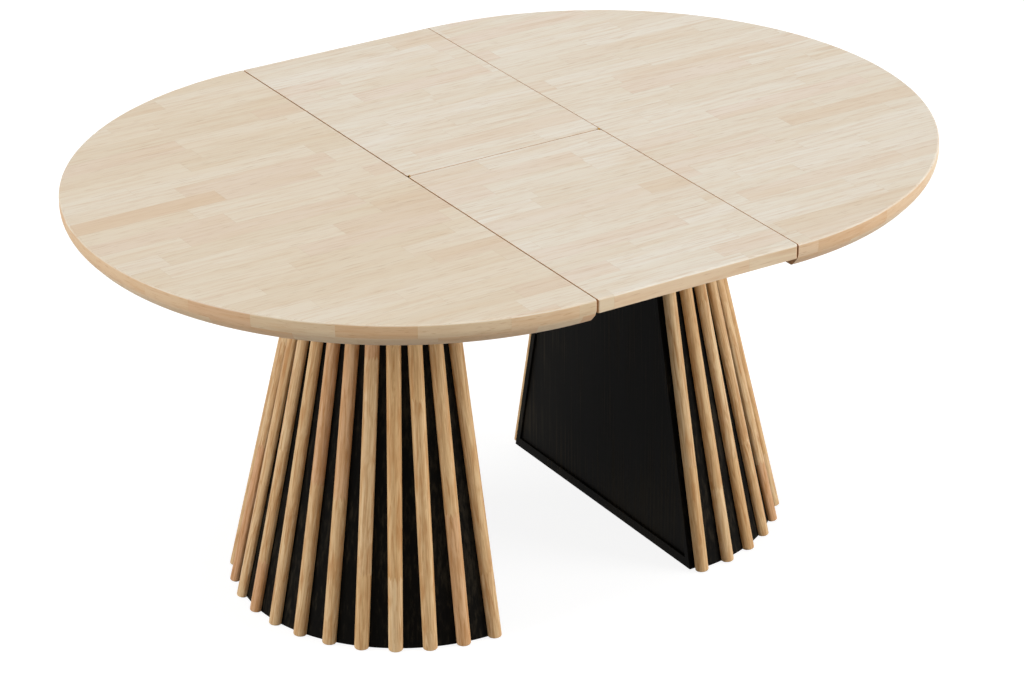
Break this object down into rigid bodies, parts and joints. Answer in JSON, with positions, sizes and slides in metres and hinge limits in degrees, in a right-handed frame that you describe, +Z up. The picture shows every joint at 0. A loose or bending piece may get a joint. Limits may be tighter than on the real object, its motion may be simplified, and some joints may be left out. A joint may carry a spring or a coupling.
{
  "type": "butterfly leaf table",
  "caption": "Round extending table: half-round wooden tops on slatted half-cone pedestals slide on runners, and a hinged butterfly leaf swings up between them on parallel arms.",
  "frame": {"origin": "on the floor under the centre of the extended table", "axes": "+X along the extension, to the right half; +Y to the back; +Z up"},
  "size_m": [1.5998, 1.2, 0.762],
  "materials": {
    "top_wood": "satin lacquer, butcher block",
    "slat_wood": "satin lacquer",
    "black_wood": "satin black paint",
    "rail_wood": "bare hardwood",
    "runner_metal": "mill finish",
    "steel": "zinc plated",
    "black_steel": "powder coat",
    "hinge_brass": "satin",
    "glide_plastic": "matte"
  },
  "bodies": {
    "carrier": {"rear_centre_rail": "rail_wood", "front_centre_rail": "rail_wood", "rear_hanger": "black_steel", "front_hanger": "black_steel", "left_cross_bar": "rail_wood", "right_cross_bar": "rail_wood", "front_pivot_shaft": "steel", "rear_pivot_shaft": "steel"},
    "left_half": {"left_top_panel": "top_wood", "left_edge_rim": "top_wood", "left_pedestal_shell": "black_wood", "left_face_frame": "black_wood", "left_face_panel": "black_wood", "left_bottom_plate": "black_wood", "left_top_plate": "black_wood", "left_slats": "slat_wood", "left_floor_glides": "glide_plastic", "left_rear_runner": "runner_metal", "left_front_runner": "runner_metal", "left_stop_pegs": "steel", "left_inner_bearer": "black_wood", "left_outer_bearer": "black_wood"},
    "right_half": {"right_top_panel": "top_wood", "right_edge_rim": "top_wood", "right_pedestal_shell": "black_wood", "right_face_frame": "black_wood", "right_face_panel": "black_wood", "right_bottom_plate": "black_wood", "right_top_plate": "black_wood", "right_slats": "slat_wood", "right_floor_glides": "glide_plastic", "right_rear_runner": "runner_metal", "right_front_runner": "runner_metal", "right_stop_pegs": "steel", "right_inner_bearer": "black_wood", "right_outer_bearer": "black_wood"},
    "front_arm_pair": {"front_arms": "steel"},
    "rear_arm_pair": {"rear_arms": "steel"},
    "leaf_front": {"leaf_front_panel": "top_wood", "leaf_front_hinge_plates": "hinge_brass", "arm_brackets": "black_steel", "bracket_pins": "steel"},
    "leaf_rear": {"leaf_rear_panel": "top_wood", "leaf_rear_hinge_plates": "hinge_brass"}
  },
  "joints": [
    {"name": "left_half_slide", "type": "slide", "parent": "carrier", "child": "left_half", "axis": [-1, 0, 0], "range_m": [0, 0.03]},
    {"name": "right_half_slide", "type": "slide", "parent": "carrier", "child": "right_half", "axis": [1, 0, 0], "range_m": [0, 0.03]},
    {"name": "leaf_swing", "type": "hinge", "parent": "carrier", "child": "front_arm_pair", "pos_m": [0, -0.135, 0.667], "axis": [-1, 0, 0], "range_deg": [0, 180]},
    {"name": "rear_arm_swing", "type": "hinge", "parent": "carrier", "child": "rear_arm_pair", "pos_m": [0, 0.055, 0.667], "axis": [-1, 0, 0], "range_deg": [0, 180]},
    {"name": "leaf_front_level", "type": "hinge", "parent": "front_arm_pair", "child": "leaf_front", "pos_m": [0, -0.285, 0.695], "axis": [-1, 0, 0], "range_deg": [-180, 0]},
    {"name": "leaf_rear_fold", "type": "hinge", "parent": "leaf_front", "child": "leaf_rear", "pos_m": [0, 0, 0.7603], "axis": [1, 0, 0], "range_deg": [0, 180]}
  ],
  "couplings": [
    {"joint": "rear_arm_swing", "follows": "leaf_swing", "ratio": 1},
    {"joint": "leaf_front_level", "follows": "leaf_swing", "ratio": -1},
    {"joint": "leaf_rear_fold", "follows": "leaf_swing", "ratio": 1}
  ]
}
